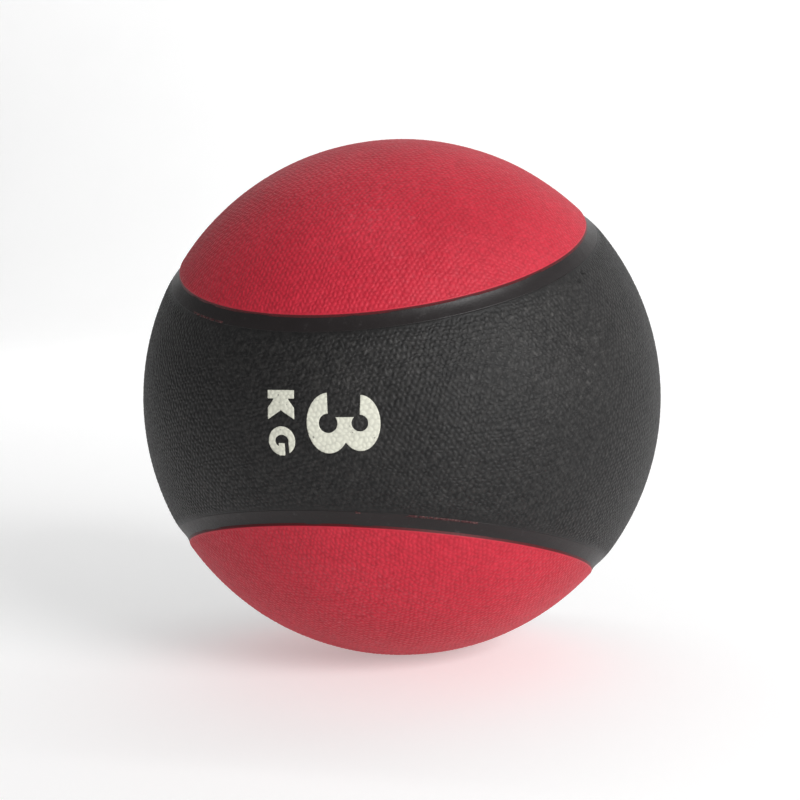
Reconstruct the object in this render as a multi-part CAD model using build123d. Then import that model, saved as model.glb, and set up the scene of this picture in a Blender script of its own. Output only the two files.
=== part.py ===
from build123d import *
from build123d.topology import SkipClean
import math
import os

# A hollow rubber medicine ball of 3 kg, in millimetres, centred on the origin. From the inside out
# it is an air bladder with a needle valve, a nylon winding, two halves of weight rubber, and a
# cover of two round red panels, a black waist band and a smooth seam strip round each red panel.
# The red panels lean towards the front, -Y, where the waist is narrow and carries the weight mark.
# The waist is widest at the back, +Y, where the valve is. +Z goes up through the upper red panel.

# Driving dimensions of the outside.
BALL_DIAMETER = 225.0
PANEL_TILT = 71.0  # degrees from the front of the ball to the middle of a red panel
PANEL_HALF_ANGLE = 50.2  # degrees from the middle of a red panel to its edge
SEAM_ANGLE = 3.4  # degrees that a seam strip spans beyond the red edge
SHOULDER_ANGLE = 3.6  # degrees over which the waist slopes down to the seam strip
LIP_ANGLE = 0.15  # degrees of red rubber that shows between the strip and the waist
PANEL_DROP = 0.3  # how far the red panels lie below the waist band
SEAM_DROP = 0.7  # how far the edges of a seam strip lie below the waist band
CHANNEL_DEPTH = 0.6  # hollow across a seam strip

# Thickness of each layer.
COVER_WALL = 3.0
PANEL_MARGIN = 0.8  # the red panel's rebated margin, which runs under the seam strip
WEIGHT_WALL = 10.0
WINDING_WALL = 1.0
BLADDER_WALL = 1.8
INK_FILM = 0.15

# The joint between the two halves of weight rubber.
LAP_LENGTH = 6.0

# The valve: a rubber boot that grips a self-sealing core.
STEM_RADIUS = 6.5
STEM_RECESS = 0.4  # depth of the boot's rim below the waist
DISH_DEPTH = 0.8
FLANGE_RADIUS = 17.0
FLANGE_WALL = 2.0
PATCH_RADIUS = 25.0
PATCH_HOLE_RADIUS = 5.0
PATCH_WALL = 1.0
NEEDLE_RADIUS = 1.3  # takes the usual 2 mm inflating needle
NEEDLE_LEAD_IN = 0.8
NEEDLE_GUIDE = 6.0
CORE_RADIUS = 4.0
CORE_LENGTH = 9.0
CORE_LEAD_IN = 3.0
SLIT_WIDTH = 0.2
AIR_RADIUS = 2.2

# The weight mark, which reads downwards with its top towards +X.
NUMERAL_HEIGHT = 27.9
NUMERAL_WIDTH = 22.6
NUMERAL_BASE = -3.1  # X of the numeral's foot
LETTER_HEIGHT = 11.0
LETTER_WIDTH = 11.0
LETTER_GAP = 2.6
LETTER_STROKE = 3.2
LETTER_BASE = -19.1  # X of the letters' feet

# Radii and angles that follow.
BALL_RADIUS = BALL_DIAMETER / 2
PANEL_RADIUS = BALL_RADIUS - PANEL_DROP
SEAM_RADIUS = BALL_RADIUS - SEAM_DROP
COVER_INNER = BALL_RADIUS - COVER_WALL
MARGIN_RADIUS = COVER_INNER + PANEL_MARGIN
WEIGHT_INNER = COVER_INNER - WEIGHT_WALL
LAP_RADIUS = (COVER_INNER + WEIGHT_INNER) / 2
WINDING_INNER = WEIGHT_INNER - WINDING_WALL
BLADDER_INNER = WINDING_INNER - BLADDER_WALL
FLANGE_INNER = BLADDER_INNER - FLANGE_WALL
PATCH_INNER = FLANGE_INNER - PATCH_WALL
SEAM_END = PANEL_HALF_ANGLE + SEAM_ANGLE
LIP_START = SEAM_END - LIP_ANGLE
UPPER = Rot(X=90 - PANEL_TILT)  # turns +Z to the middle of the upper red panel
LOWER = Rot(X=90 + PANEL_TILT)
FRONT = Rot(X=90)  # turns +Z to -Y
REAR = Rot(X=-90)  # turns +Z to +Y
UPPER_HALF = Rot(Y=90) * Rot(Z=90)  # turns +Z to +X, and +Y to +Z


def at(radius, angle):
    """The point in the XZ plane at this radius, this many degrees from +Z."""
    turn = math.radians(angle)
    return Vector(radius * math.sin(turn), 0, radius * math.cos(turn))


def arc(radius, start, end):
    """An arc about the ball's centre, from one angle to another."""
    return ThreePointArc(at(radius, start), at(radius, (start + end) / 2), at(radius, end))


def radial(start_radius, end_radius, angle):
    """A line towards or away from the ball's centre."""
    return Line(at(start_radius, angle), at(end_radius, angle))


def angle_at(radius, distance):
    """Degrees from the axis to where this sphere is this far from the axis."""
    return math.degrees(math.asin(distance / radius))


def height_at(radius, distance):
    """Height of this sphere above its middle plane, this far from the axis."""
    return math.sqrt(radius**2 - distance**2)


def turned(outline):
    """The solid that a closed outline in the XZ plane sweeps about Z."""
    return revolve(make_face(outline), Axis.Z, 360)


def hollow_sphere(outer, inner):
    return Sphere(outer) - Sphere(inner)


def valve_hole():
    """The round hole that the valve's stem fills, from the bladder to the outside."""
    depth = BALL_RADIUS - PATCH_INNER + 10
    return Pos(0, BALL_RADIUS + 2 - depth / 2, 0) * REAR * Cylinder(STEM_RADIUS, depth)


def red_panel():
    """A round dished panel about +Z, with a thin margin and a raised lip at its rim."""
    return turned(
        [
            arc(PANEL_RADIUS, 0, PANEL_HALF_ANGLE),
            radial(PANEL_RADIUS, MARGIN_RADIUS, PANEL_HALF_ANGLE),
            arc(MARGIN_RADIUS, PANEL_HALF_ANGLE, LIP_START),
            radial(MARGIN_RADIUS, SEAM_RADIUS, LIP_START),
            arc(SEAM_RADIUS, LIP_START, SEAM_END),
            radial(SEAM_RADIUS, COVER_INNER, SEAM_END),
            arc(COVER_INNER, SEAM_END, 0),
            radial(COVER_INNER, PANEL_RADIUS, 0),
        ]
    )


def seam_strip():
    """A ring about +Z that lies on a red panel's margin, with a hollow outer face."""
    middle = (PANEL_HALF_ANGLE + LIP_START) / 2
    hollow = ThreePointArc(
        at(SEAM_RADIUS, PANEL_HALF_ANGLE),
        at(SEAM_RADIUS - CHANNEL_DEPTH, middle),
        at(SEAM_RADIUS, LIP_START),
    )
    return turned(
        [
            hollow,
            radial(SEAM_RADIUS, MARGIN_RADIUS, LIP_START),
            arc(MARGIN_RADIUS, LIP_START, PANEL_HALF_ANGLE),
            radial(MARGIN_RADIUS, SEAM_RADIUS, PANEL_HALF_ANGLE),
        ]
    )


def panel_opening():
    """What the waist band leaves free for a red panel, its seam strip and the sloping shoulder."""
    below = COVER_INNER - 10
    above = BALL_RADIUS + 10
    shoulder = SEAM_END + SHOULDER_ANGLE
    return turned(
        [
            arc(below, 0, SEAM_END),
            radial(below, SEAM_RADIUS, SEAM_END),
            Line(at(SEAM_RADIUS, SEAM_END), at(BALL_RADIUS, shoulder)),
            radial(BALL_RADIUS, above, shoulder),
            arc(above, shoulder, 0),
            radial(above, below, 0),
        ]
    )


def upper_half_sphere(outer, inner):
    """The half of a hollow sphere above Z = 0, turned about X."""
    wall = [
        arc(outer, 0, 180),
        radial(outer, inner, 180),
        arc(inner, 180, 0),
        radial(inner, outer, 0),
    ]
    return UPPER_HALF * revolve(make_face(wall), Axis.Z, 180)


def waist_band():
    """The rest of the cover: one solid, whose faces stay parted at Z = 0 so that each is simple."""
    upper = upper_half_sphere(BALL_RADIUS, COVER_INNER) - UPPER * panel_opening() - valve_hole()
    with SkipClean():
        return upper + mirror(upper, Plane.XY)


def weight_shell(lap):
    """Half of the weight rubber, about +Z. Its inner layer passes the rim by lap, or stops short."""
    step = 90 + angle_at(LAP_RADIUS, lap)
    inner_step = 90 + angle_at(WEIGHT_INNER, lap)
    return turned(
        [
            arc(COVER_INNER, 0, 90),
            radial(COVER_INNER, LAP_RADIUS, 90),
            arc(LAP_RADIUS, 90, step),
            Line(at(LAP_RADIUS, step), at(WEIGHT_INNER, inner_step)),
            arc(WEIGHT_INNER, inner_step, 0),
            radial(WEIGHT_INNER, COVER_INNER, 0),
        ]
    )


def valve_heights():
    """Heights on the valve's axis: its mouth, the needle guide's two ends and the core's foot."""
    mouth = BALL_RADIUS - STEM_RECESS - DISH_DEPTH
    guide_top = mouth - NEEDLE_LEAD_IN
    guide_foot = guide_top - NEEDLE_GUIDE
    return mouth, guide_top, guide_foot, guide_foot - CORE_LENGTH


def valve_boot():
    """The moulded rubber boot about +Z: flange inside the bladder, stem out to the waist."""
    mouth, guide_top, guide_foot, core_foot = valve_heights()
    rim_radius = BALL_RADIUS - STEM_RECESS
    mouth_radius = NEEDLE_RADIUS + NEEDLE_LEAD_IN
    flange_rim = angle_at(BLADDER_INNER, FLANGE_RADIUS)
    air_angle = angle_at(FLANGE_INNER, AIR_RADIUS)
    stem_angle = angle_at(BLADDER_INNER, STEM_RADIUS)
    profile = Polyline(
        at(BLADDER_INNER, stem_angle),
        (STEM_RADIUS, 0, height_at(rim_radius, STEM_RADIUS)),
        (mouth_radius, 0, mouth),
        (NEEDLE_RADIUS, 0, guide_top),
        (NEEDLE_RADIUS, 0, guide_foot),
        (CORE_RADIUS, 0, guide_foot),
        (CORE_RADIUS, 0, core_foot),
        (AIR_RADIUS, 0, core_foot),
        at(FLANGE_INNER, air_angle),
    )
    return turned(
        [
            arc(FLANGE_INNER, air_angle, flange_rim),
            radial(FLANGE_INNER, BLADDER_INNER, flange_rim),
            arc(BLADDER_INNER, flange_rim, stem_angle),
            profile,
        ]
    )


def valve_core():
    """The self-sealing plug about +Z, pierced by a closed slit under a conical lead-in."""
    _, _, top, foot = valve_heights()
    plug = Pos(0, 0, (top + foot) / 2) * Cylinder(CORE_RADIUS, CORE_LENGTH)
    lead_in = Cone(SLIT_WIDTH / 2, NEEDLE_RADIUS, CORE_LEAD_IN)
    slit = Box(2 * NEEDLE_RADIUS, SLIT_WIDTH, CORE_LENGTH)
    return (
        plug
        - Pos(0, 0, top - CORE_LEAD_IN / 2) * lead_in
        - Pos(0, 0, (top + foot) / 2) * slit
    )


def valve_patch():
    """The reinforcing disc about +Z that bonds the boot's flange to the bladder."""
    hole = angle_at(FLANGE_INNER, PATCH_HOLE_RADIUS)
    flange_rim = angle_at(BLADDER_INNER, FLANGE_RADIUS)
    patch_rim = angle_at(BLADDER_INNER, PATCH_RADIUS)
    return turned(
        [
            arc(FLANGE_INNER, hole, flange_rim),
            radial(FLANGE_INNER, BLADDER_INNER, flange_rim),
            arc(BLADDER_INNER, flange_rim, patch_rim),
            radial(BLADDER_INNER, BLADDER_INNER - PATCH_WALL, patch_rim),
            Line(at(BLADDER_INNER - PATCH_WALL, patch_rim), at(PATCH_INNER, flange_rim)),
            arc(PATCH_INNER, flange_rim, hole),
            radial(PATCH_INNER, FLANGE_INNER, hole),
        ]
    )


def numeral():
    """A plain 3 on its foot: two round bowls, each with a round counter, open on the left."""
    upper_reach = 0.27 * NUMERAL_HEIGHT
    lower_reach = 0.3 * NUMERAL_HEIGHT
    upper_middle = NUMERAL_HEIGHT - upper_reach
    upper_bowl = Pos(0, upper_middle) * Ellipse(0.46 * NUMERAL_WIDTH, upper_reach)
    lower_bowl = Pos(0, lower_reach) * Ellipse(0.5 * NUMERAL_WIDTH, lower_reach)
    upper_counter = Pos(0, upper_middle) * Circle(0.41 * upper_reach)
    lower_counter = Pos(0, lower_reach) * Circle(0.43 * lower_reach)
    waist_end = -0.1 * NUMERAL_WIDTH
    side = -NUMERAL_WIDTH
    flare = 0.03 * NUMERAL_HEIGHT
    gap = make_face(
        Polyline(
            (waist_end, upper_middle),
            (side, upper_middle + flare),
            (side, lower_reach - flare),
            (waist_end, lower_reach),
            close=True,
        )
    )
    return upper_bowl + lower_bowl - upper_counter - lower_counter - gap


def letter_k():
    """A plain K, standing on its foot, centred on X = 0."""
    left = -LETTER_WIDTH / 2
    right = LETTER_WIDTH / 2
    middle = LETTER_HEIGHT / 2
    elbow = left + LETTER_STROKE
    arm = 1.35 * LETTER_STROKE
    stem = Pos(left + LETTER_STROKE / 2, middle) * Rectangle(LETTER_STROKE, LETTER_HEIGHT)
    arms = make_face(
        Polyline(
            (elbow, middle + LETTER_STROKE / 2),
            (right - arm, LETTER_HEIGHT),
            (right, LETTER_HEIGHT),
            (elbow + arm, middle),
            (right, 0),
            (right - arm, 0),
            (elbow, middle - LETTER_STROKE / 2),
            close=True,
        )
    )
    return stem + arms


def letter_g():
    """A plain G, standing on its foot, centred on X = 0."""
    middle = LETTER_HEIGHT / 2
    half = LETTER_WIDTH / 2
    ring = Ellipse(half, middle) - Ellipse(half - LETTER_STROKE, middle - 0.85 * LETTER_STROKE)
    bar_top = 0.1 * LETTER_HEIGHT
    bar_height = 0.22 * LETTER_HEIGHT
    bar_length = 0.85 * half
    notch_height = 0.15 * LETTER_HEIGHT
    notch = Pos(half, bar_top + notch_height / 2) * Rectangle(LETTER_WIDTH, notch_height)
    crossbar = Pos(half - bar_length / 2, bar_top - bar_height / 2) * Rectangle(bar_length, bar_height)
    return Pos(0, middle) * (ring - notch + crossbar)


def printed(outline):
    """An ink film in this outline on the front of the waist. The outline reads along -Z."""
    above = BALL_RADIUS + 2
    plane = Plane(origin=(0, -above, 0), x_dir=(0, 0, -1), z_dir=(0, -1, 0))
    block = extrude(plane * outline, -above / 8)
    return block & hollow_sphere(BALL_RADIUS + INK_FILM, BALL_RADIUS)


def unit_letters():
    """The letters K and G, side by side, as one outline."""
    step = (LETTER_WIDTH + LETTER_GAP) / 2
    return Pos(-step, LETTER_BASE) * letter_k() + Pos(step, LETTER_BASE) * letter_g()


NODES = {
    "upper_red_panel": UPPER * red_panel(),
    "lower_red_panel": LOWER * red_panel(),
    "upper_seam_strip": UPPER * seam_strip(),
    "lower_seam_strip": LOWER * seam_strip(),
    "waist_band": waist_band(),
    "front_weight_shell": FRONT * weight_shell(LAP_LENGTH),
    "rear_weight_shell": REAR * weight_shell(-LAP_LENGTH) - valve_hole(),
    "nylon_winding": hollow_sphere(WEIGHT_INNER, WINDING_INNER) - valve_hole(),
    "air_bladder": hollow_sphere(WINDING_INNER, BLADDER_INNER) - valve_hole(),
    "valve_boot": REAR * valve_boot(),
    "valve_core": REAR * valve_core(),
    "valve_patch": REAR * valve_patch(),
    "weight_numeral": printed(Pos(0, NUMERAL_BASE) * numeral()),
    "unit_letters": printed(unit_letters()),
}

os.makedirs("parts", exist_ok=True)
for node, shape in NODES.items():
    export_step(shape, f"parts/{node}.step")
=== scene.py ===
import math

import bmesh
import bpy
import numpy as np
from mathutils import Matrix, Vector, noise


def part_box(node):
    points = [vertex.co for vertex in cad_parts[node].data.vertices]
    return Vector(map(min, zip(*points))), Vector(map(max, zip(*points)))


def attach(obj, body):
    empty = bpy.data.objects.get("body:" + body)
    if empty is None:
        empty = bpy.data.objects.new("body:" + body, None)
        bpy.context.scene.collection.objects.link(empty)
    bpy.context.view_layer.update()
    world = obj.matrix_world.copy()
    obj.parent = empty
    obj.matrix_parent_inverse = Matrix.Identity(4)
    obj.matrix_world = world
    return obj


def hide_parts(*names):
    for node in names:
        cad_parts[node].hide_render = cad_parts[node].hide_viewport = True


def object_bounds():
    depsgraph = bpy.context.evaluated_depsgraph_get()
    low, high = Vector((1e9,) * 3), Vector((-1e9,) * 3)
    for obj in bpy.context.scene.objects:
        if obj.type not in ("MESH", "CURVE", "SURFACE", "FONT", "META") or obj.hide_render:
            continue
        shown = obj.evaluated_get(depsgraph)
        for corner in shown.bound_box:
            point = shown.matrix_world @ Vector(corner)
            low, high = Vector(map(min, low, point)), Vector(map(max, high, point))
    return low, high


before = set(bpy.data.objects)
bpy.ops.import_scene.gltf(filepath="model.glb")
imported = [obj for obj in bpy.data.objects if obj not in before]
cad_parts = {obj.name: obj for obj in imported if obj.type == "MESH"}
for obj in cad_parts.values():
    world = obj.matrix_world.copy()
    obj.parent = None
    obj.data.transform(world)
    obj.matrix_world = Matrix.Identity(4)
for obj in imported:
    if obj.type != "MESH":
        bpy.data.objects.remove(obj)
cad_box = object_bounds()

MM = 0.001

# The ball's outside, which repeats the CAD model's driving dimensions. Angles are seen from the
# ball's centre. A panel's run from its middle, and a turn on the waist runs from the front to +X.
PANEL_TILT = math.radians(71.0)
PANEL_HALF_ANGLE = math.radians(50.2)
SEAM_ANGLE = math.radians(3.4)
SHOULDER_ANGLE = math.radians(3.6)
COVER_WALL = 3.0 * MM
PANEL_MARGIN = 0.8 * MM
SEAM_END = PANEL_HALF_ANGLE + SEAM_ANGLE
BALL_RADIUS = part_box("waist_band")[1][0]
PANEL_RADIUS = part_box("upper_red_panel")[1][2]
COVER_INNER = BALL_RADIUS - COVER_WALL
MARGIN_RADIUS = COVER_INNER + PANEL_MARGIN

# The valve boot, which repeats the CAD model's driving dimensions too.
BLADDER_INNER = BALL_RADIUS - 15.8 * MM
STEM_RADIUS = 6.5 * MM
STEM_GAP = 0.02 * MM
STEM_FOOT = 100.0 * MM
FLANGE_RADIUS = 17.0 * MM
FLANGE_WALL = 2.0 * MM
FLANGE_POINTS = 9
AIR_RADIUS = 2.2 * MM
NEEDLE_RADIUS = 1.3 * MM

# The seam between panel and waist, worn a little shallower than its drawn depth.
SEAM_DROP = 0.5 * MM
SEAM_RADIUS = BALL_RADIUS - SEAM_DROP
CHANNEL_DEPTH = 0.45 * MM
CREVICE_DEPTH = 0.3 * MM
SEAM_WAVER = 0.05 * MM
EDGE_ROLL = math.radians(0.42)  # rounding of the red panel's rim
EDGE_CLEAR = 0.2 * MM  # width of the panel's rim without pebbles
EDGE_FADE = 0.8 * MM
WALL_SLOPE = math.radians(0.45)
LIP_ANGLE = math.radians(0.3)

# Stretches of the red lip that stand out as flash, as turns about the panel's middle, by side.
FLASH_STRETCHES = {
    1: ((-2.3, -2.06), (0.88, 0.93)),
    -1: ((0.9, 1.22), (1.4, 1.43), (-1.22, -1.18)),
}
FLASH_REST = 0.6 * MM  # how deep the lip lies elsewhere
FLASH_RISE = 0.64 * MM
FLASH_RAGGED = 0.6 * MM
FLASH_TAPER = 0.03

FULL_TURN = 2 * math.pi

# The moulded pebbles. Each seed keeps one noise apart from the others.
PEBBLE_ROW = 1.9 * MM
PEBBLE_HEIGHT = 0.14 * MM
PEBBLE_JITTER = 0.40
PEBBLE_UNEVENNESS = 0.38
PEBBLE_SWAY = 0.6
WAIST_SEEDS = (11.0, 23.0)
PANEL_SEEDS = (31.0, 47.0)
UNEVEN_SEED = 71.0
WAVE_SPAN = 3.5  # of the 4.5 between the lowest and highest sum of three waves
PANEL_SWELL = 0.12 * MM
ROW_ANGLES = (math.radians(40.0), math.radians(160.0))
ROWS_ROUND = [round(math.cos(angle) * FULL_TURN * BALL_RADIUS / PEBBLE_ROW) for angle in ROW_ANGLES]
ROWS_UP = [math.sin(angle) * BALL_RADIUS / PEBBLE_ROW for angle in ROW_ANGLES]
LATITUDE_STRETCH = 0.1

# How fine the meshes are.
PANEL_GRID = 280
BAND_COLUMNS = 1200
BAND_ROWS = 300
INNER_ROWS = 16
STRIP_COLUMNS = 960
SOLID_SEGMENTS = 160
CUTTER_SEGMENTS = 128

# Small nicks in the waist's right shoulder: turn, latitude, reach and depth.
NICKS = (
    (math.radians(63.9), math.radians(28.1), 0.7 * MM, 1.9 * MM),
    (math.radians(61.2), math.radians(26.2), 0.7 * MM, 1.1 * MM),
)
NICK_SHADE_DEPTH = 0.4 * MM  # depth from which a nick's painted shade is darkest

# Round the valve the waist is smooth and a little sunk, inside a raised collar.
SMOOTH_RADIUS = 8.5 * MM
SMOOTH_FADE = 1.2 * MM
SMOOTH_DROP = 0.15 * MM
COLLAR_RADIUS = 8.0 * MM
COLLAR_WIDTH = 0.9 * MM
COLLAR_HEIGHT = 0.2 * MM


# ---------------------------------------------------------------- pebbles

def soft_noise(directions, scale, seed=0.0):
    """Smooth noise over the sphere, about -1 to 1."""
    offset = Vector((seed, 2 * seed, 3 * seed))
    return np.array([noise.noise(Vector(d) * scale + offset) for d in directions])


def wander(directions, seed):
    """How far the pebble rows wander from straight, in pebbles."""
    wide = soft_noise(directions, BALL_RADIUS / (12 * PEBBLE_ROW), seed)
    middle = soft_noise(directions, BALL_RADIUS / (3 * PEBBLE_ROW), seed + 5)
    near = soft_noise(directions, BALL_RADIUS / (1.3 * PEBBLE_ROW), seed + 9)
    return PEBBLE_SWAY * wide + PEBBLE_JITTER * (middle + near)


def unevenness(directions):
    """How much higher or lower than its fellows a pebble is."""
    return PEBBLE_UNEVENNESS * soft_noise(directions, BALL_RADIUS / (1.15 * PEBBLE_ROW), UNEVEN_SEED)


def relief_of(across, along, uneven):
    """Pebble height from 0 in a pit to 1 on top, from the counts of two of its three sets of rows."""
    waves = sum(np.cos(FULL_TURN * count) for count in (across, along, across + along))
    return np.clip((waves + 1.5) / WAVE_SPAN + uneven, -0.1, 1.2)


def waist_counts(directions):
    """Counts of two sets of pebble rows on the waist, and how far they wander."""
    turn = np.arctan2(directions[:, 0], -directions[:, 1])
    latitude = np.arcsin(np.clip(directions[:, 2], -1, 1))
    rise = latitude + LATITUDE_STRETCH * latitude**3
    drift = [wander(directions, seed) for seed in WAIST_SEEDS]
    counts = [
        around * turn / FULL_TURN + up * rise + wandered
        for around, up, wandered in zip(ROWS_ROUND, ROWS_UP, drift)
    ]
    return counts, drift


def panel_counts(side, directions):
    """Counts of two sets of pebble rows on a red panel."""
    own = directions @ cap_basis(side).T
    angle = np.arccos(np.clip(own[:, 2], -1, 1))
    flat = own[:, :2] / np.maximum(np.hypot(own[:, 0], own[:, 1]), 1e-9)[:, None]
    flat = flat * (angle * BALL_RADIUS / PEBBLE_ROW)[:, None]
    return [
        math.cos(row) * flat[:, 0] + math.sin(row) * flat[:, 1] + wander(directions, seed)
        for row, seed in zip(ROW_ANGLES, PANEL_SEEDS)
    ]


# ---------------------------------------------------------------- directions

def cap_axis(side):
    """Unit vector through the middle of the upper (side 1) or lower (side -1) red panel."""
    return np.array([0, -math.cos(PANEL_TILT), side * math.sin(PANEL_TILT)])


def cap_basis(side):
    """Rows x, y, z of a panel's own axes: z through its middle, x towards the ball's +X."""
    z = cap_axis(side)
    x = np.array([1.0, 0, 0])
    return np.array([x, np.cross(z, x), z])


def cap_directions(side, angle, turn):
    """Unit directions at these angles from a panel's middle and these turns about it."""
    angle, turn = np.broadcast_arrays(angle, turn)
    own = np.stack(
        [np.sin(angle) * np.cos(turn), np.sin(angle) * np.sin(turn), np.cos(angle)], axis=-1
    )
    return own @ cap_basis(side)


def smooth(value):
    """Eases from 0 to 1 as value goes from 0 to 1."""
    value = np.clip(value, 0, 1)
    return value * value * (3 - 2 * value)


# ---------------------------------------------------------------- meshes

def link(name, mesh):
    """A new object in the scene with this mesh or other data."""
    piece = bpy.data.objects.new(name, mesh)
    bpy.context.scene.collection.objects.link(piece)
    return piece


def make_piece(name, points, faces, values):
    """A smooth-shaded closed mesh from arrays of points and faces, with float values per point."""
    mesh = bpy.data.meshes.new(name)
    mesh.from_pydata([tuple(p) for p in points.tolist()], [], [tuple(f) for f in faces])
    mesh.update()
    mesh.polygons.foreach_set("use_smooth", np.ones(len(mesh.polygons), bool))
    for key, data in values.items():
        layer = mesh.attributes.new(key, "FLOAT", "POINT")
        layer.data.foreach_set("value", np.asarray(data, np.float32))
    piece = link(name, mesh)
    face_outwards(piece)
    return piece


def mesh_from(made, name):
    """Turns a bmesh into a smooth-shaded mesh and frees it."""
    mesh = bpy.data.meshes.new(name)
    made.to_mesh(mesh)
    made.free()
    mesh.polygons.foreach_set("use_smooth", np.ones(len(mesh.polygons), bool))
    return mesh


def ring_faces(rows, columns):
    """Quads of a grid of rows by columns, closed round both its rows and its columns."""
    i, j = np.meshgrid(np.arange(rows), np.arange(columns), indexing="ij")
    below, across = (i + 1) % rows, (j + 1) % columns
    return np.stack(
        [i * columns + j, below * columns + j, below * columns + across, i * columns + across],
        axis=-1,
    ).reshape(-1, 4)


def face_outwards(piece):
    """Turns a closed piece's faces outwards."""
    made = bmesh.new()
    made.from_mesh(piece.data)
    bmesh.ops.recalc_face_normals(made, faces=made.faces)
    made.to_mesh(piece.data)
    made.free()


# ---------------------------------------------------------------- red panels

def flash_height(side, turn):
    """How far the red lip stands out between strip and waist, along the panel's rim."""
    height = np.full(turn.shape, -FLASH_REST)
    for start, end in FLASH_STRETCHES[side]:
        off = np.abs(np.angle(np.exp(1j * (turn - (start + end) / 2))))
        rise = FLASH_RISE * smooth(((end - start) / 2 - off) / FLASH_TAPER + 0.5)
        height = np.maximum(height, rise - FLASH_REST)
    around = [Vector((math.cos(t) * 100, math.sin(t) * 100, side)) for t in turn]
    return height + FLASH_RAGGED * np.array([noise.noise(place) for place in around])


def disc_grid(size):
    """Reach, from -1 to 1, and turn of the points of a square grid bent to fill a disc."""
    u, v = np.meshgrid(np.linspace(-1, 1, size + 1), np.linspace(-1, 1, size + 1), indexing="ij")
    wide = np.abs(u) > np.abs(v)
    reach = np.where(wide, u, v)
    safe_u, safe_v = np.where(u == 0, 1, u), np.where(v == 0, 1, v)
    turn = np.where(wide, math.pi / 4 * v / safe_u, math.pi / 2 - math.pi / 4 * u / safe_v)
    return reach, turn


def border_loop(size):
    """Indices of the outer points of a (size + 1) square grid, in order."""
    n = size + 1
    steps = np.arange(size)
    return np.concatenate(
        [steps * n, size * n + steps, (size - steps) * n + size, size - steps]
    )


def rim_profile():
    """Rings from the red panel's rim down to its margin and over its inside.

    Each is its angle, radius, share of the flash, painted shade on the rim's roll and wall, and share of
    the lip's colour.
    """
    foot = PANEL_HALF_ANGLE + WALL_SLOPE
    # The fourth value of each ring is painted shade: dark on the rim's roll and on the wall down to the
    # seam.
    rings = [
        (PANEL_HALF_ANGLE - 0.62 * EDGE_ROLL, PANEL_RADIUS - 0.03 * MM, 0, 0.0, 0.0),
        (PANEL_HALF_ANGLE - 0.32 * EDGE_ROLL, PANEL_RADIUS - 0.1 * MM, 0, 0.0, 0.0),
        (PANEL_HALF_ANGLE - 0.12 * EDGE_ROLL, PANEL_RADIUS - 0.2 * MM, 0, 0.6, 0.0),
        (PANEL_HALF_ANGLE, PANEL_RADIUS - 0.36 * MM, 0, 1.0, 0.0),
        (foot, SEAM_RADIUS - 0.25 * MM, 0, 1.0, 0.0),
        (foot, MARGIN_RADIUS, 0, 1.0, 0.0),
        (SEAM_END - 2 * LIP_ANGLE, MARGIN_RADIUS, 0, 0.0, 1.0),
        (SEAM_END - 1.5 * LIP_ANGLE, SEAM_RADIUS, 0.6, 0.0, 1.0),
        (SEAM_END - 0.8 * LIP_ANGLE, SEAM_RADIUS, 1, 0.0, 1.0),
        (SEAM_END, SEAM_RADIUS, 0.6, 0.0, 1.0),
        (SEAM_END, MARGIN_RADIUS, 0, 0.0, 1.0),
        (SEAM_END, COVER_INNER, 0, 0.0, 0.0),
    ]
    for share in (0.8, 0.6, 0.4, 0.2):
        rings.append((SEAM_END * share, COVER_INNER, 0, 0.0, 0.0))
    return rings


def panel_face(side):
    """Points, values and turns of a red panel's pebbled face, a square grid bent to fill it."""
    reach, turn = disc_grid(PANEL_GRID)
    angle = 2 * np.arcsin(reach * math.sin((PANEL_HALF_ANGLE - EDGE_ROLL) / 2))
    angle, turn = angle.ravel(), turn.ravel()
    directions = cap_directions(side, angle, turn)
    across, along = panel_counts(side, directions)
    uneven = unevenness(directions)
    to_edge = (PANEL_HALF_ANGLE - np.abs(angle)) * PANEL_RADIUS
    fade = smooth((to_edge - EDGE_CLEAR) / EDGE_FADE)
    swell = soft_noise(directions, 4.0, side) * PANEL_SWELL
    radius = PANEL_RADIUS - PEBBLE_HEIGHT * (1 - relief_of(across, along, uneven)) * fade + swell * fade
    values = {
        "across": [across],
        "along": [along],
        "uneven": [uneven],
        "pebbled": [fade],
        "wear_and_shade": [np.zeros(len(across))],
        "lip": [np.zeros(len(across))],
    }
    return directions * radius[:, None], values, np.where(angle < 0, turn + math.pi, turn)


def red_panel(name, side):
    """A pebbled round panel with a rolled edge, and the margin and lip that run under the seam."""
    face_points, values, turn = panel_face(side)
    points = [face_points]
    border = border_loop(PANEL_GRID)
    rim_turn = turn[border]
    flash = flash_height(side, rim_turn)
    across, along = (values[key][0][border] for key in ("across", "along"))
    count = len(border)
    profile = rim_profile()
    for angle, radius, flashing, worn_and_shaded, lip in profile:
        directions = cap_directions(side, angle, rim_turn)
        points.append(directions * (radius + flashing * flash)[:, None])
        ring = (across, along, np.zeros(count), np.zeros(count), np.full(count, worn_and_shaded), np.full(count, lip))
        for data, added in zip(values.values(), ring):
            data.append(added)
    points.append(cap_axis(side)[None] * COVER_INNER)
    for data in values.values():
        data.append(np.zeros(1))

    n = PANEL_GRID + 1
    i, j = np.meshgrid(np.arange(PANEL_GRID), np.arange(PANEL_GRID), indexing="ij")
    grid = np.stack([i * n + j, (i + 1) * n + j, (i + 1) * n + j + 1, i * n + j + 1], axis=-1)
    faces = grid.reshape(-1, 4).tolist()
    after = np.roll(np.arange(count), -1)
    inner, start = border, n * n
    for _ in profile:
        outer = start + np.arange(count)
        faces += np.stack([inner, inner[after], outer[after], outer], axis=1).tolist()
        inner, start = outer, start + count
    faces += np.stack([inner, inner[after], np.full(count, start)], axis=1).tolist()
    values = {key: np.concatenate(data) for key, data in values.items()}
    return make_piece(name, np.concatenate(points), faces, values)


# ---------------------------------------------------------------- seam strips

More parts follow.
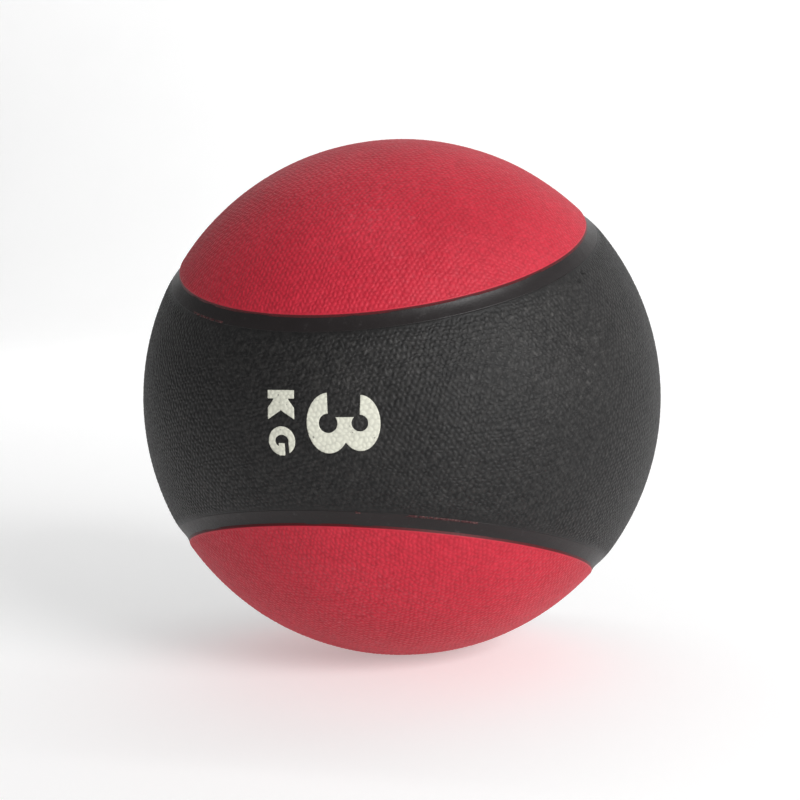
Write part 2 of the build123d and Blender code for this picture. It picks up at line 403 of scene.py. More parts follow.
def seam_strip(name, side):
    """A smooth ring with a hollow face, lying in the seam beside a red panel."""
    turn = np.linspace(0, FULL_TURN, STRIP_COLUMNS, endpoint=False)
    around = [Vector((math.cos(t) * 9, math.sin(t) * 9, 5 + side)) for t in turn]
    waver = SEAM_WAVER * np.array([noise.noise(place) for place in around])
    shares = np.concatenate([[0, 0.03, 0.06, 0.1, 0.15], np.linspace(0.22, 1, 13)])
    rings = []
    for share in shares:
        angle = PANEL_HALF_ANGLE + SEAM_ANGLE * share
        hollow = CHANNEL_DEPTH * math.sin(math.pi * share**0.8)
        crevice = CREVICE_DEPTH * math.exp(-((share / 0.06) ** 2))
        radius = SEAM_RADIUS - hollow - crevice + waver
        rings.append(cap_directions(side, angle, turn) * radius[:, None])
    for angle in (SEAM_END, PANEL_HALF_ANGLE):
        rings.append(cap_directions(side, angle, turn) * MARGIN_RADIUS)
    faces = ring_faces(len(rings), STRIP_COLUMNS).tolist()
    # Painted shade, darkest in the crevice beside the red panel and fainter at the waist's edge.
    corners = np.exp(-((shares / 0.08) ** 2)) + 0.5 * np.exp(-(((1 - shares) / 0.05) ** 2))
    wear_and_shade = np.concatenate([np.repeat(corners, STRIP_COLUMNS), np.zeros(2 * STRIP_COLUMNS)])
    return make_piece(name, np.concatenate(rings), faces, {"wear_and_shade": wear_and_shade})


# ---------------------------------------------------------------- waist band

def band_edge(turn):
    """Latitude of the waist's upper edge at each turn from the front."""
    across = math.cos(PANEL_TILT) * np.cos(turn)
    up = math.sin(PANEL_TILT)
    return np.arctan2(up, across) - np.arccos(math.cos(SEAM_END) / np.hypot(up, across))


def turned_directions(turn, latitude):
    """Unit directions at these turns from the front towards +X and these latitudes."""
    flat = np.cos(latitude)
    return np.stack([flat * np.sin(turn), -flat * np.cos(turn), np.sin(latitude)], axis=-1)


def shoulder_drop(directions):
    """How far down the slopes to the seam strips these directions are, from 0 to 1."""
    drop = np.zeros(len(directions))
    for side in (1, -1):
        from_axis = np.arccos(np.clip(directions @ cap_axis(side), -1, 1))
        drop += (1 - np.clip((from_axis - SEAM_END) / SHOULDER_ANGLE, 0, 1)) ** 2
    return np.clip(drop, 0, 1)


def nick_depth(directions):
    """How deep the nicks in the waist's shoulder are in these directions."""
    depth = np.zeros(len(directions))
    for turn, latitude, reach, deepest in NICKS:
        away = BALL_RADIUS * np.arccos(np.clip(directions @ turned_directions(turn, latitude), -1, 1))
        depth = np.maximum(depth, deepest * np.exp(-((away / reach) ** 2)))
    return depth


def waist_surface(directions):
    """Radius of the waist's outside in these directions, and what its material reads there."""
    (across, along), drift = waist_counts(directions)
    drop = shoulder_drop(directions)
    uneven = unevenness(directions)
    from_valve = BALL_RADIUS * np.arccos(np.clip(directions[:, 1], -1, 1))
    clear = smooth((from_valve - SMOOTH_RADIUS) / SMOOTH_FADE)
    collar = np.exp(-(((from_valve - COLLAR_RADIUS) / COLLAR_WIDTH) ** 2))
    ragged = soft_noise(directions, 60.0, 8.0)
    pebbled = clear * smooth((1.02 - drop + 0.15 * ragged) / 0.75)
    nick = nick_depth(directions)
    radius = BALL_RADIUS - SEAM_DROP * drop
    radius -= PEBBLE_HEIGHT * (1 - relief_of(across, along, uneven)) * pebbled
    radius += COLLAR_HEIGHT * collar - SMOOTH_DROP * (1 - clear)
    radius -= nick
    # The last value is painted shade, darkest on the slopes down to the seam strips and in the nicks.
    return radius, {
        "drift_across": drift[0],
        "drift_along": drift[1],
        "uneven": uneven,
        "pebbled": pebbled,
        "wear_and_shade": np.maximum(drop, smooth(nick / NICK_SHADE_DEPTH)),
    }


def waist_band(name):
    """The black waist: a closed wall with a dense pebbled outside and a plain inside."""
    turn = np.linspace(0, FULL_TURN, BAND_COLUMNS, endpoint=False)
    edge = band_edge(turn)
    rows = []
    values = {"drift_across": [], "drift_along": [], "uneven": [], "pebbled": [], "wear_and_shade": []}
    for share in np.linspace(-1, 1, BAND_ROWS + 1):
        directions = turned_directions(turn, share * edge)
        radius, found = waist_surface(directions)
        rows.append(directions * radius[:, None])
        for key, data in values.items():
            data.append(found[key])
    for share in np.linspace(1, -1, INNER_ROWS + 1):
        rows.append(turned_directions(turn, share * edge) * COVER_INNER)
        for data in values.values():
            data.append(np.zeros(BAND_COLUMNS))
    faces = ring_faces(len(rows), BAND_COLUMNS).tolist()
    values = {key: np.concatenate(data) for key, data in values.items()}
    return make_piece(name, np.concatenate(rows), faces, values)


def bore(piece, radius):
    """Cuts the valve's round hole, about +Y, through a piece."""
    made = bmesh.new()
    place = Matrix.Translation((0, BALL_RADIUS, 0)) @ Matrix.Rotation(math.pi / 2, 4, "X")
    bmesh.ops.create_cone(
        made,
        cap_ends=True,
        segments=CUTTER_SEGMENTS,
        radius1=radius,
        radius2=radius,
        depth=4 * COVER_WALL,
        matrix=place,
    )
    mesh = bpy.data.meshes.new("cutter")
    made.to_mesh(mesh)
    made.free()
    cutter = link("cutter", mesh)
    cut = piece.modifiers.new("bore", "BOOLEAN")
    cut.operation = "DIFFERENCE"
    cut.solver = "EXACT"
    cut.object = cutter
    graph = bpy.context.evaluated_depsgraph_get()
    result = bpy.data.meshes.new_from_object(piece.evaluated_get(graph))
    piece.modifiers.clear()
    piece.data = result
    bpy.data.objects.remove(cutter)


# ---------------------------------------------------------------- weight mark

# The mark's outline, in mm and flat: u runs along it, down the ball, and v up it, towards +X.
NUMERAL_HEIGHT = 27.9
NUMERAL_WIDTH = 22.6
NUMERAL_BASE = -3.1
LETTER_HEIGHT = 11.0
LETTER_WIDTH = 11.0
LETTER_GAP = 2.6
LETTER_STROKE = 3.2
LETTER_BASE = -19.1
NUMERAL_AREA = ((-13, -6), (13, 27))
LETTERS_AREA = ((-16, -22), (16, -7))
INK_CELL = 0.3

# The film of ink over the pebbles, in metres.
INK_FILM = 0.14 * MM
INK_ROOT = 0.12 * MM  # how far it reaches into the waist


def in_ellipse(u, v, centre, radii):
    """Signed depth, positive inside, near an ellipse's outline, in mm."""
    x = (u - centre[0]) / radii[0]
    y = (v - centre[1]) / radii[1]
    return (1 - np.hypot(x, y)) * min(radii)


def in_polygon(u, v, corners):
    """Signed depth, positive inside, of a convex polygon given anticlockwise."""
    depth = np.full(u.shape, 1e9)
    for (x0, y0), (x1, y1) in zip(corners, corners[1:] + corners[:1]):
        length = math.hypot(x1 - x0, y1 - y0)
        depth = np.minimum(depth, ((x1 - x0) * (v - y0) - (y1 - y0) * (u - x0)) / length)
    return depth


def in_rectangle(u, v, centre, size):
    """Signed depth, positive inside, of an upright rectangle."""
    return np.minimum(size[0] / 2 - np.abs(u - centre[0]), size[1] / 2 - np.abs(v - centre[1]))


def numeral_depth(u, v):
    """A plain 3: two round bowls, each with a round counter, open on the left."""
    v = v - NUMERAL_BASE
    upper_reach = 0.27 * NUMERAL_HEIGHT
    lower_reach = 0.3 * NUMERAL_HEIGHT
    upper_middle = NUMERAL_HEIGHT - upper_reach
    waist_end = -0.1 * NUMERAL_WIDTH
    side = -NUMERAL_WIDTH
    flare = 0.03 * NUMERAL_HEIGHT
    bowls = np.maximum(
        in_ellipse(u, v, (0, upper_middle), (0.46 * NUMERAL_WIDTH, upper_reach)),
        in_ellipse(u, v, (0, lower_reach), (0.5 * NUMERAL_WIDTH, lower_reach)),
    )
    counters = np.maximum(
        in_ellipse(u, v, (0, upper_middle), (0.41 * upper_reach, 0.41 * upper_reach)),
        in_ellipse(u, v, (0, lower_reach), (0.43 * lower_reach, 0.43 * lower_reach)),
    )
    gap = in_polygon(
        u,
        v,
        [
            (waist_end, upper_middle),
            (side, upper_middle + flare),
            (side, lower_reach - flare),
            (waist_end, lower_reach),
        ],
    )
    return np.minimum(bowls, -np.maximum(counters, gap))


def letter_k_depth(u, v):
    """A plain K, standing on its foot, centred on u = 0."""
    left, right, middle = -LETTER_WIDTH / 2, LETTER_WIDTH / 2, LETTER_HEIGHT / 2
    arm, half = 1.35 * LETTER_STROKE, LETTER_STROKE / 2
    start = left + half
    elbow = (left + LETTER_STROKE + arm, middle)
    below, above = (start, middle - half), (start, middle + half)
    stem = in_rectangle(u, v, (start, middle), (LETTER_STROKE, LETTER_HEIGHT))
    upper = in_polygon(u, v, [below, elbow, (right, LETTER_HEIGHT), (right - arm, LETTER_HEIGHT), above])
    lower = in_polygon(u, v, [below, (right - arm, 0), (right, 0), elbow, above])
    return np.maximum(stem, np.maximum(upper, lower))


def letter_g_depth(u, v):
    """A plain G, standing on its foot, centred on u = 0."""
    middle, half = LETTER_HEIGHT / 2, LETTER_WIDTH / 2
    v = v - middle
    bar_top, bar_height, bar_length = 0.1 * LETTER_HEIGHT, 0.22 * LETTER_HEIGHT, 0.85 * half
    notch_height = 0.15 * LETTER_HEIGHT
    ring = np.minimum(
        in_ellipse(u, v, (0, 0), (half, middle)),
        -in_ellipse(u, v, (0, 0), (half - LETTER_STROKE, middle - 0.85 * LETTER_STROKE)),
    )
    notch = in_rectangle(u, v, (half, bar_top + notch_height / 2), (LETTER_WIDTH, notch_height))
    crossbar = in_rectangle(
        u, v, (half - bar_length / 2, bar_top - bar_height / 2), (bar_length, bar_height)
    )
    return np.maximum(np.minimum(ring, -notch), crossbar)


def letters_depth(u, v):
    """The letters K and G, side by side."""
    step = (LETTER_WIDTH + LETTER_GAP) / 2
    v = v - LETTER_BASE
    return np.maximum(letter_k_depth(u + step, v), letter_g_depth(u - step, v))


def filled_cells(depth, us, vs):
    """Points and faces of the part of a grid where depth is positive, cut along the outline."""
    points, faces, known = [], [], {}

    def corner(i, j):
        if (i, j) not in known:
            known[i, j] = len(points)
            points.append((us[i], vs[j]))
        return known[i, j]

    def crossing(a, b):
        a, b = min(a, b), max(a, b)
        if (a, b) not in known:
            share = depth[a] / (depth[a] - depth[b])
            known[a, b] = len(points)
            points.append(
                (us[a[0]] + share * (us[b[0]] - us[a[0]]), vs[a[1]] + share * (vs[b[1]] - vs[a[1]]))
            )
        return known[a, b]

    inside = depth > 0
    busy = inside[:-1, :-1] | inside[1:, :-1] | inside[:-1, 1:] | inside[1:, 1:]
    for i, j in zip(*np.nonzero(busy)):
        i, j = int(i), int(j)
        loop = [(i, j), (i + 1, j), (i + 1, j + 1), (i, j + 1)]
        face = []
        for a, b in zip(loop, loop[1:] + loop[:1]):
            if inside[a]:
                face.append(corner(*a))
            if inside[a] != inside[b]:
                face.append(crossing(a, b))
        faces.append(face)
    return np.array(points), faces


def ink_film(name, depth_of, low, high):
    """A thin closed film printed on the front of the waist, inside the area from low to high."""
    us = np.arange(low[0], high[0], INK_CELL) + 0.0137
    vs = np.arange(low[1], high[1], INK_CELL) + 0.0113
    u, v = np.meshgrid(us, vs, indexing="ij")
    outline, faces = filled_cells(depth_of(u, v), us, vs)
    flat = outline * MM
    x, z = flat[:, 1], -flat[:, 0]
    y = -np.sqrt(BALL_RADIUS**2 - x**2 - z**2)
    directions = np.stack([x, y, z], axis=1) / BALL_RADIUS
    (across, along), drift = waist_counts(directions)
    uneven = unevenness(directions)
    relief = relief_of(across, along, uneven)
    depth = depth_of(outline[:, 0], outline[:, 1])
    edge = smooth(depth / 0.35)
    ragged = soft_noise(directions, 420.0, 4.0)
    low_radius = BALL_RADIUS - PEBBLE_HEIGHT * (1 - relief) - INK_ROOT
    film = INK_FILM * (0.45 + 0.55 * edge)
    high_radius = BALL_RADIUS - 0.75 * PEBBLE_HEIGHT * (1 - relief) + film
    count = len(outline)
    points = np.concatenate([directions * high_radius[:, None], directions * low_radius[:, None]])
    sides = {}
    for face in faces:
        for a, b in zip(face, face[1:] + face[:1]):
            if (b, a) in sides:
                del sides[b, a]
            else:
                sides[a, b] = True
    solid = [tuple(face) for face in faces]
    solid += [tuple(count + k for k in reversed(face)) for face in faces]
    solid += [(b, a, count + a, count + b) for a, b in sides]
    values = {
        "drift_across": np.tile(drift[0], 2),
        "drift_along": np.tile(drift[1], 2),
        "uneven": np.tile(uneven, 2),
        "wear_and_shade": np.tile(np.clip(1 - depth / 0.5, 0, 1) * (0.6 + 0.8 * ragged), 2),
    }
    return make_piece(name, points, solid, values)


# ---------------------------------------------------------------- valve

# The boot's rounded rim, dish and needle hole: distance from the axis and depth below the rim.
BOOT_MOUTH = [
    (6.42 * MM, 0.25 * MM),
    (6.25 * MM, 0.08 * MM),
    (5.95 * MM, 0.0),
    (5.6 * MM, 0.02 * MM),
    (5.3 * MM, 0.14 * MM),
    (5.1 * MM, 0.34 * MM),
    (4.7 * MM, 0.52 * MM),
    (4.0 * MM, 0.6 * MM),
    (3.4 * MM, 0.56 * MM),
    (3.1 * MM, 0.42 * MM),
    (2.8 * MM, 0.38 * MM),
    (2.5 * MM, 0.46 * MM),
    (2.1 * MM, 0.8 * MM),
    (1.7 * MM, 1.15 * MM),
    (1.4 * MM, 1.45 * MM),
    (NEEDLE_RADIUS, 1.7 * MM),
]


def lathe(name, outline, axis):
    """A closed solid turned about a unit axis. outline is (distance from axis, height) pairs."""
    to_axis = Vector((0, 0, 1)).rotation_difference(Vector(axis)).to_matrix()
    made = bmesh.new()
    rings = []
    for radius, height in outline:
        ring = []
        for k in range(SOLID_SEGMENTS):
            turn = FULL_TURN * k / SOLID_SEGMENTS
            place = Vector((radius * math.cos(turn), radius * math.sin(turn), height))
            ring.append(made.verts.new(to_axis @ place))
        rings.append(ring)
    for ring, other in zip(rings, rings[1:] + rings[:1]):
        for i in range(SOLID_SEGMENTS):
            j = (i + 1) % SOLID_SEGMENTS
            made.faces.new((ring[i], ring[j], other[j], other[i]))
    bmesh.ops.recalc_face_normals(made, faces=made.faces)
    return link(name, mesh_from(made, name))


def flange_face(start, end, radius):
    """Points of the boot's round flange, from one distance from the axis to another."""
    steps = np.linspace(start, end, FLANGE_POINTS).tolist()
    return [(across, math.sqrt(radius**2 - across**2)) for across in steps]


def valve_boot(name):
    """The rubber boot about +Y: flange inside the bladder, stem out to a rounded rim and dish."""
    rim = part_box("valve_boot")[1][1]
    core_low, core_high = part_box("valve_core")
    core_radius, core_foot, core_top = core_high[0], core_low[1], core_high[1]
    stem = STEM_RADIUS - STEM_GAP
    outline = flange_face(AIR_RADIUS, FLANGE_RADIUS, BLADDER_INNER - FLANGE_WALL)
    outline += flange_face(FLANGE_RADIUS, STEM_RADIUS, BLADDER_INNER)
    outline += [(stem, STEM_FOOT), (stem, rim - 0.5 * MM)]
    outline += [(across, rim - depth) for across, depth in BOOT_MOUTH]
    outline += [
        (NEEDLE_RADIUS, core_top),
        (core_radius, core_top),
        (core_radius, core_foot),
        (AIR_RADIUS, core_foot),
    ]
    return lathe(name, outline, (0, 1, 0))


# ---------------------------------------------------------------- materials

class Look:
    """A new material with helpers that add nodes to it."""

    def __init__(self, name, specular):
        self.material = bpy.data.materials.new(name)
        self.material.use_nodes = True
        self.tree = self.material.node_tree
        self.shader = self.tree.nodes["Principled BSDF"]
        self.shader.inputs["Specular IOR Level"].default_value = specular
        self.place = self.node("TexCoord").outputs["Object"]

    def node(self, kind, **settings):
        """A new shader node. Each setting is a constant for the socket of that name."""
        node = self.tree.nodes.new("ShaderNode" + kind)
        for socket, constant in settings.items():
            node.inputs[socket.replace("_", " ")].default_value = constant
        return node

    def feed(self, item, socket):
        """Gives a socket a constant, a colour or another node's output."""
        if isinstance(item, (int, float)):
            socket.default_value = item
        elif isinstance(item, tuple):
            socket.default_value = (*item, 1)
        else:
            self.tree.links.new(item, socket)

    def noise(self, scale, detail=4.0, rough=0.6):
        """Noise over the object, about 0 to 1, finer at a larger scale."""
        node = self.node("TexNoise", Scale=scale, Detail=detail, Roughness=rough)
        self.feed(self.place, node.inputs["Vector"])
        return node.outputs["Fac"]

    def stretched_noise(self, scale, stretch, detail):
        """Noise that runs in streaks across the most stretched axis."""
        mapping = self.node("Mapping", Scale=stretch)
        self.feed(self.place, mapping.inputs["Vector"])
        node = self.node("TexNoise", Scale=scale, Detail=detail)
        self.feed(mapping.outputs["Vector"], node.inputs["Vector"])
        return node.outputs["Fac"]

    def cells(self, scale):
        """Distance from the nearest of many scattered points."""
        node = self.node("TexVoronoi", Scale=scale)
        self.feed(self.place, node.inputs["Vector"])
        return node.outputs["Distance"]

    def value(self, name):
        """A float stored on the mesh's points."""
        node = self.node("Attribute")
        node.attribute_name = name
        return node.outputs["Fac"]

    def spread(self, source, low, high, start=0.0, end=1.0):
        """Maps source from low..high to start..end, clamped."""
        node = self.node("MapRange", From_Min=low, From_Max=high, To_Min=start, To_Max=end)
        self.feed(source, node.inputs["Value"])
        return node.outputs["Result"]

    def math(self, operation, a, b=0):
        """A sum or function of one or two outputs or constants."""
        node = self.node("Math")
        node.operation = operation
        self.feed(a, node.inputs[0])
        self.feed(b, node.inputs[1])
        return node.outputs["Value"]

    def mix(self, share, a, b):
        """A colour that goes from a to b as share goes from 0 to 1."""
        node = self.node("Mix")
        node.data_type = "RGBA"
        self.feed(share, node.inputs["Factor"])
        self.feed(a, node.inputs[6])
        self.feed(b, node.inputs[7])
        return node.outputs[2]

    def bump(self, height, distance, strength=1.0, below=None):
        """A normal bent by height, on top of the normal below, if there is one."""
        node = self.node("Bump", Strength=strength, Distance=distance)
        self.feed(height, node.inputs["Height"])
        if below is not None:
            self.feed(below, node.inputs["Normal"])
        return node.outputs["Normal"]

    def finish(self, colour, rough, normal):
        """Feeds the shader and returns the material."""
        self.feed(colour, self.shader.inputs["Base Color"])
        self.feed(rough, self.shader.inputs["Roughness"])
        self.feed(normal, self.shader.inputs["Normal"])
        return self.material


def pit_depth(look, across, along):
    """From 0 on top of a pebble to 1 in a pit, from the two pebble counts."""
    waves = 0.0
    for count in (across, along, look.math("ADD", across, along)):
        wave = look.math("COSINE", look.math("MULTIPLY", count, FULL_TURN))
        waves = look.math("ADD", waves, wave)
    height = look.math("ADD", look.math("DIVIDE", waves, WAVE_SPAN), look.value("uneven"))
    return look.spread(height, -0.45, 0.6, 1.0, 0.0)


def panel_pits(look):
    """The red panels' pits, from the counts stored on their points."""
    return pit_depth(look, look.value("across"), look.value("along"))


def waist_pits(look):
    """The waist's pits, worked out from the place on the ball as waist_counts does."""
    parts = look.node("SeparateXYZ")
    look.feed(look.place, parts.inputs[0])
    x, y, z = parts.outputs
    length = look.node("VectorMath")
    length.operation = "LENGTH"
    look.feed(look.place, length.inputs[0])
    turn = look.math("ARCTAN2", x, look.math("MULTIPLY", y, -1))
    latitude = look.math("ARCSINE", look.math("DIVIDE", z, length.outputs["Value"]))
    cube = look.math("POWER", look.math("ABSOLUTE", latitude), 3)
    cube = look.math("MULTIPLY", cube, look.math("SIGN", latitude))
    rise = look.math("ADD", latitude, look.math("MULTIPLY", cube, LATITUDE_STRETCH))
    counts = []
    for around, up, drift in zip(ROWS_ROUND, ROWS_UP, ("drift_across", "drift_along")):
        level = look.math("MULTIPLY", turn, around / FULL_TURN)
        count = look.math("ADD", level, look.math("MULTIPLY", rise, up))
        counts.append(look.math("ADD", count, look.value(drift)))
    return pit_depth(look, *counts)


def pebbled_rubber(name, pits_of, deep, light, pit, dust, powder, edge, roughness, specular):
    """Moulded rubber: painted shade in the pits between pebbles, soft blotches, dust, and painted shade on
    the edges and slopes that the points' values mark.

    pit and edge are each a colour of painted shade and how far it covers, and powder is how far the finest
    dust does.
    """
    look = Look(name, specular)
    blotch = look.noise(22.0, 5.0, 0.6)
    mottle = look.noise(380.0, 2.0, 0.5)
    grain = look.noise(900.0, 4.0, 0.7)
    fine = look.noise(2600.0, 3.0, 0.6)
    pits = look.math("MULTIPLY", pits_of(look), look.value("pebbled"))

    colour = look.mix(look.spread(blotch, 0.3, 0.7), deep, light)
    dim = tuple(0.8 * channel for channel in deep)
    colour = look.mix(look.spread(mottle, 0.3, 0.7, 0.0, 0.5), colour, dim)
    # Painted shade: the pits between pebbles are darkened in colour, more in some places than others.
    dark = look.math("MULTIPLY", look.spread(pits, 0.35, 0.95), look.spread(mottle, 0.3, 0.7, 0.35, 1.0))
    colour = look.mix(look.math("MULTIPLY", dark, pit[1]), colour, pit[0])

    patches = look.spread(look.noise(17.0, 3.0, 0.5), 0.5, 0.66, 0.15, 1.0)
    specks = look.spread(look.noise(420.0, 3.0, 0.7), 0.56, 0.74, 0.0, 0.4)
    specks = look.math("MULTIPLY", specks, patches)
    film = look.spread(look.noise(9.0, 5.0, 0.65), 0.5, 0.8, 0.0, 0.10)
    finest = look.spread(look.noise(560.0, 2.0, 0.6), 0.42, 0.7, 0.0, powder)
    dusty = look.math("ADD", look.math("ADD", specks, film), finest)
    colour = look.mix(dusty, colour, dust)
    # Painted shade on the red panel's rim and wall and on the waist's slopes and nicks, where the points'
    # values mark it.
    colour = look.mix(look.math("MULTIPLY", look.value("wear_and_shade"), edge[1]), colour, edge[0])

    speckle = look.spread(look.noise(1500.0, 2.0, 0.6), 0.52, 0.62)
    flash = look.mix(speckle, (0.040, 0.008, 0.010), (0.11, 0.055, 0.05))
    colour = look.mix(look.value("lip"), colour, flash)

    rougher = look.math("ADD", grain, look.math("MULTIPLY", pits, 0.5))
    rough = look.spread(rougher, 0.3, 1.2, roughness - 0.07, roughness + 0.16)
    normal = look.bump(look.math("MULTIPLY", pits, -1), 0.14 * MM)
    normal = look.bump(fine, 0.12 * MM, 0.5, normal)
    normal = look.bump(grain, 0.22 * MM, 0.5, normal)
    look.shader.inputs["Sheen Weight"].default_value = 0.04
    look.shader.inputs["Sheen Roughness"].default_value = 0.4
    return look.finish(colour, rough, normal)


def red_rubber():
    """Red rubber of the round panels, with painted shade in its pits and where the rim meets the seam."""
    return pebbled_rubber(
        "red_rubber",
        panel_pits,
        deep=(0.44, 0.013, 0.030),
        light=(0.54, 0.022, 0.044),
        pit=((0.15, 0.003, 0.009), 0.25),
        dust=(0.56, 0.13, 0.16),
        powder=0.03,
        edge=((0.035, 0.002, 0.003), 0.92),
        roughness=0.55,
        specular=0.26,
    )


def black_rubber():
    """Black rubber of the waist, with pale dust on its pebbles, and painted shade in its pits, on the
    slopes down to the seams and in the nicks.
    """
    return pebbled_rubber(
        "black_rubber",
        waist_pits,
        deep=(0.0066, 0.0063, 0.0066),
        light=(0.0125, 0.0120, 0.0120),
        pit=((0.002, 0.002, 0.002), 0.8),
        dust=(0.12, 0.115, 0.11),
        powder=0.13,
        edge=((0.005, 0.005, 0.005), 0.6),
        roughness=0.52,
        specular=0.27,
    )


def smooth_rubber(name, deep, light, roughness, specular):
    """Plain satin rubber with faint flow marks, dust, painted shade in its corners and tiny pits."""
    look = Look(name, specular)
    cloud = look.noise(30.0, 5.0, 0.6)
    grain = look.noise(1400.0, 4.0, 0.7)
    dust = look.spread(look.noise(260.0, 4.0, 0.75), 0.6, 0.75, 0.0, 0.22)
    pale = tuple(0.09 + 1.3 * channel for channel in light)
    colour = look.mix(look.spread(cloud, 0.3, 0.7), deep, light)
    colour = look.mix(dust, colour, pale)
    # Painted shade in the corners of the seam strips, from the values on their points.
    corner = look.math("MULTIPLY", look.value("wear_and_shade"), 0.85)
    colour = look.mix(corner, colour, (0.002, 0.0015, 0.0015))
    rougher = look.math("ADD", look.math("MULTIPLY", cloud, 0.5), grain)
    rough = look.spread(rougher, 0.5, 1.0, roughness - 0.06, roughness + 0.1)
    normal = look.bump(grain, 0.12 * MM, 0.45)
    normal = look.bump(look.noise(160.0, 3.0), 0.4 * MM, 0.4, normal)
    return look.finish(colour, rough, normal)


def ink():
    """Off-white printing ink, darker in the grooves between pebbles and a little thinner at its edges."""
    look = Look("mark_ink", 0.4)
    cloud = look.noise(60.0, 5.0, 0.6)
    grain = look.noise(1100.0, 4.0, 0.75)
    grooves = look.spread(waist_pits(look), 0.45, 1.0, 0.0, 0.35)
    worn_and_shaded = look.math("MULTIPLY", look.value("wear_and_shade"), look.spread(grain, 0.5, 0.7, 0.0, 0.8))
    pinholes = look.spread(look.noise(650.0, 2.0, 0.6), 0.69, 0.74, 0.0, 0.8)
    colour = look.mix(look.spread(cloud, 0.3, 0.7), (0.60, 0.60, 0.51), (0.67, 0.67, 0.57))
    colour = look.mix(grooves, colour, (0.30, 0.30, 0.26))
    colour = look.mix(look.math("MAXIMUM", worn_and_shaded, pinholes), colour, (0.12, 0.12, 0.11))
    rough = look.spread(grain, 0.3, 0.7, 0.42, 0.62)
    return look.finish(colour, rough, look.bump(grain, 0.12 * MM, 0.5))


def weight_rubber():
    """Dense filled rubber with pale mineral specks."""
    look = Look("weight_rubber", 0.35)
    specks = look.math("MULTIPLY", look.spread(look.cells(700.0), 0.12, 0.2, 1.0, 0.0), 0.6)
    cloud = look.spread(look.noise(40.0), 0.3, 0.7)
    grain = look.noise(900.0, 5.0, 0.7)
    colour = look.mix(cloud, (0.035, 0.033, 0.03), (0.055, 0.05, 0.046))
    colour = look.mix(specks, colour, (0.24, 0.22, 0.2))
    rough = look.spread(grain, 0.3, 0.7, 0.62, 0.85)
    return look.finish(colour, rough, look.bump(grain, 0.3 * MM, 0.6))


def winding_yarn():
    """Crossing turns of pale nylon yarn."""
    look = Look("winding_yarn", 0.4)
    over = look.stretched_noise(60.0, (1.0, 14.0, 2.0), 3.0)
    under = look.stretched_noise(60.0, (14.0, 1.0, 3.0), 3.0)
    threads = look.math("MAXIMUM", over, under)
    colour = look.mix(look.spread(threads, 0.45, 0.7), (0.42, 0.40, 0.34), (0.74, 0.72, 0.64))
    rough = look.spread(threads, 0.4, 0.7, 0.7, 0.48)
    return look.finish(colour, rough, look.bump(threads, 0.6 * MM, 0.8))


def seam_rubber():
    deep, light = (0.0095, 0.0072, 0.0074), (0.0145, 0.0115, 0.0118)
    return smooth_rubber("seam_rubber", deep, light, 0.44, 0.3)


def valve_rubber():
    return smooth_rubber("valve_rubber", (0.016, 0.016, 0.017), (0.028, 0.028, 0.029), 0.45, 0.5)


def butyl_rubber():
    return smooth_rubber("butyl_rubber", (0.02, 0.02, 0.022), (0.035, 0.035, 0.038), 0.5, 0.45)


def core_rubber():
    return smooth_rubber("core_rubber", (0.32, 0.07, 0.05), (0.42, 0.1, 0.07), 0.5, 0.4)


def studio_paper():
    """Pale matt paper with a faint glow of its own, which keeps the ground near white."""
    look = Look("studio_paper", 0.1)
    tone = look.spread(look.noise(3.0, 3.0), 0.3, 0.7)
    colour = look.mix(tone, (0.73, 0.73, 0.73), (0.75, 0.75, 0.75))
    rough = look.spread(look.noise(40.0), 0.3, 0.7, 0.85, 0.95)
    look.shader.inputs["Emission Color"].default_value = (1, 1, 1, 1)
    look.shader.inputs["Emission Strength"].default_value = 0.36
    return look.finish(colour, rough, look.bump(look.noise(300.0), 0.3 * MM, 0.2))


# ---------------------------------------------------------------- the ball

def paint(piece, material):
    """Gives a piece one material in place of any it had."""
    piece.data.materials.clear()
    piece.data.materials.append(material)


def add(piece, node, material):
    """Puts a detailed piece in place of its CAD node."""
    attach(piece, "root")
    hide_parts(node)
    paint(piece, material)


def build_ball():
    """The detailed pieces: the cover, the mark and the valve boot."""
    red, black, seam, mark = red_rubber(), black_rubber(), seam_rubber(), ink()
    add(red_panel("upper_red_cover", 1), "upper_red_panel", red)
    add(red_panel("lower_red_cover", -1), "lower_red_panel", red)
    add(seam_strip("upper_channel", 1), "upper_seam_strip", seam)
    add(seam_strip("lower_channel", -1), "lower_seam_strip", seam)
    waist = waist_band("waist_cover")
    bore(waist, STEM_RADIUS)
    add(waist, "waist_band", black)
    numeral = ink_film("mark_numeral", numeral_depth, *NUMERAL_AREA)
    letters = ink_film("mark_letters", letters_depth, *LETTERS_AREA)
    add(numeral, "weight_numeral", mark)
    add(letters, "unit_letters", mark)
    add(valve_boot("needle_boot"), "valve_boot", valve_rubber())


def paint_core():
    """Finishes for the layers inside, whose CAD shapes stay."""
    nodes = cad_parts
    weight, butyl = weight_rubber(), butyl_rubber()
    paint(nodes["front_weight_shell"], weight)
    paint(nodes["rear_weight_shell"], weight)
    paint(nodes["nylon_winding"], winding_yarn())
    paint(nodes["air_bladder"], butyl)
    paint(nodes["valve_patch"], butyl)
    paint(nodes["valve_core"], core_rubber())


# ---------------------------------------------------------------- studio

# The sweep, in metres: its depth in front of the ball and behind it, the bend and the backdrop.
SWEEP_FRONT = 4.0
SWEEP_BACK = 3.0
SWEEP_BEND = 1.2
SWEEP_STEPS = 16
SWEEP_HALF_WIDTH = 6.0
BACKDROP_HEIGHT = 5.0


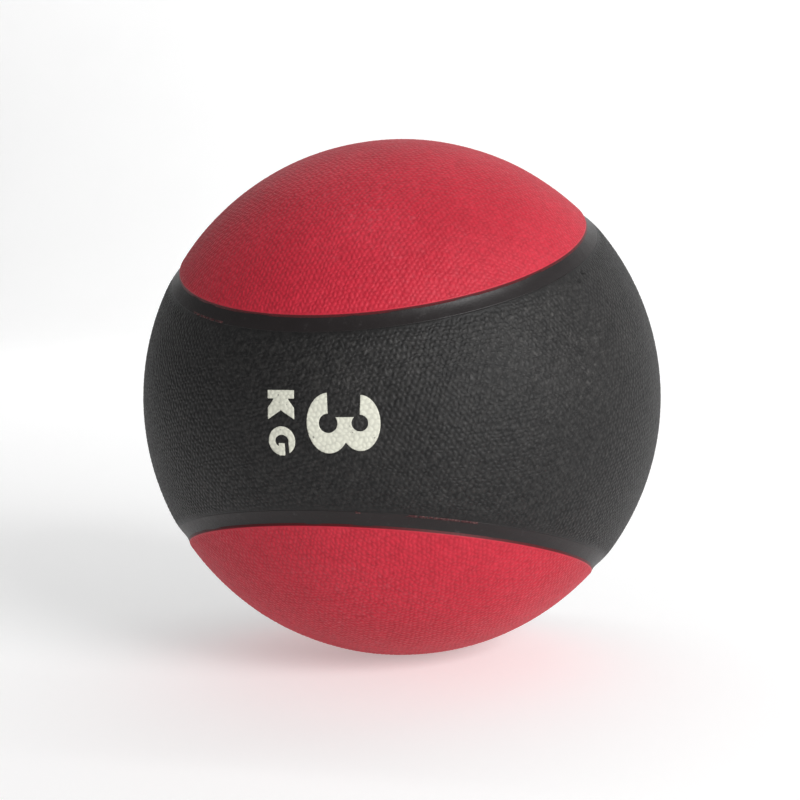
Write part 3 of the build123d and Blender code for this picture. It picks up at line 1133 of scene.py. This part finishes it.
def sweep():
    """A pale floor that curves up into a backdrop, well behind the ball."""
    floor = cad_box[0][2]
    profile = [(-SWEEP_FRONT, floor), (SWEEP_BACK, floor)]
    for k in range(1, SWEEP_STEPS + 1):
        angle = math.pi / 2 * k / SWEEP_STEPS
        back = SWEEP_BACK + SWEEP_BEND * math.sin(angle)
        profile.append((back, floor + SWEEP_BEND * (1 - math.cos(angle))))
    profile.append((SWEEP_BACK + SWEEP_BEND, floor + BACKDROP_HEIGHT))
    made = bmesh.new()
    rows = []
    for y, z in profile:
        rows.append([made.verts.new((x, y, z)) for x in (-SWEEP_HALF_WIDTH, SWEEP_HALF_WIDTH)])
    for a, b in zip(rows, rows[1:]):
        made.faces.new((a[0], a[1], b[1], b[0]))
    piece = link("studio_sweep", mesh_from(made, "studio_sweep"))
    paint(piece, studio_paper())


def softbox(name, place, size, energy, target):
    """A rectangular light at a place, turned to its target."""
    data = bpy.data.lights.new(name, "AREA")
    data.shape = "RECTANGLE"
    data.size, data.size_y = size
    data.energy = energy
    light = link(name, data)
    light.location = place
    away = Vector(place) - Vector(target)
    light.rotation_euler = away.to_track_quat("Z", "Y").to_euler()


def light_studio():
    """White surroundings, a key light from the front right and a light on the backdrop."""
    world = bpy.data.worlds.new("studio_world")
    world.use_nodes = True
    background = world.node_tree.nodes["Background"]
    background.inputs["Color"].default_value = (1, 1, 1, 1)
    background.inputs["Strength"].default_value = 0.24
    bpy.context.scene.world = world
    softbox("key_light", (1.7, -1.2, 0.76), (1.0, 1.0), 51, (0, 0, 0))
    softbox("backdrop_light", (0, 1.2, 2.8), (4.0, 1.0), 75, (0, 3.8, 0.8))


# The camera looks at the ball's front from a little to the right and above.
CAMERA_DISTANCE = 6 * BALL_RADIUS
CAMERA_AZIMUTH = math.radians(16.9)
CAMERA_ELEVATION = math.radians(4.75)
CAMERA_ROLL = math.radians(-1.5)
CAMERA_SENSOR = 36
CAMERA_LENS = 68.9
CAMERA_SHIFT = (-0.0025, -0.0038)


def place_camera():
    """The scene's camera, aimed at the ball's centre and rolled a little."""
    data = bpy.data.cameras.new("camera")
    data.sensor_width = CAMERA_SENSOR
    data.lens = CAMERA_LENS
    data.shift_x, data.shift_y = CAMERA_SHIFT
    camera = link("camera", data)
    flat = math.cos(CAMERA_ELEVATION)
    across, towards = math.sin(CAMERA_AZIMUTH) * flat, math.cos(CAMERA_AZIMUTH) * flat
    back = Vector((across, -towards, math.sin(CAMERA_ELEVATION)))
    camera.location = back * CAMERA_DISTANCE
    level = (-back).to_track_quat("-Z", "Y").to_matrix()
    camera.rotation_euler = (level @ Matrix.Rotation(CAMERA_ROLL, 3, "Z")).to_euler()
    bpy.context.scene.camera = camera


place_camera()
build_ball()
paint_core()
sweep()
light_studio()
bpy.context.scene.view_settings.view_transform = "Standard"
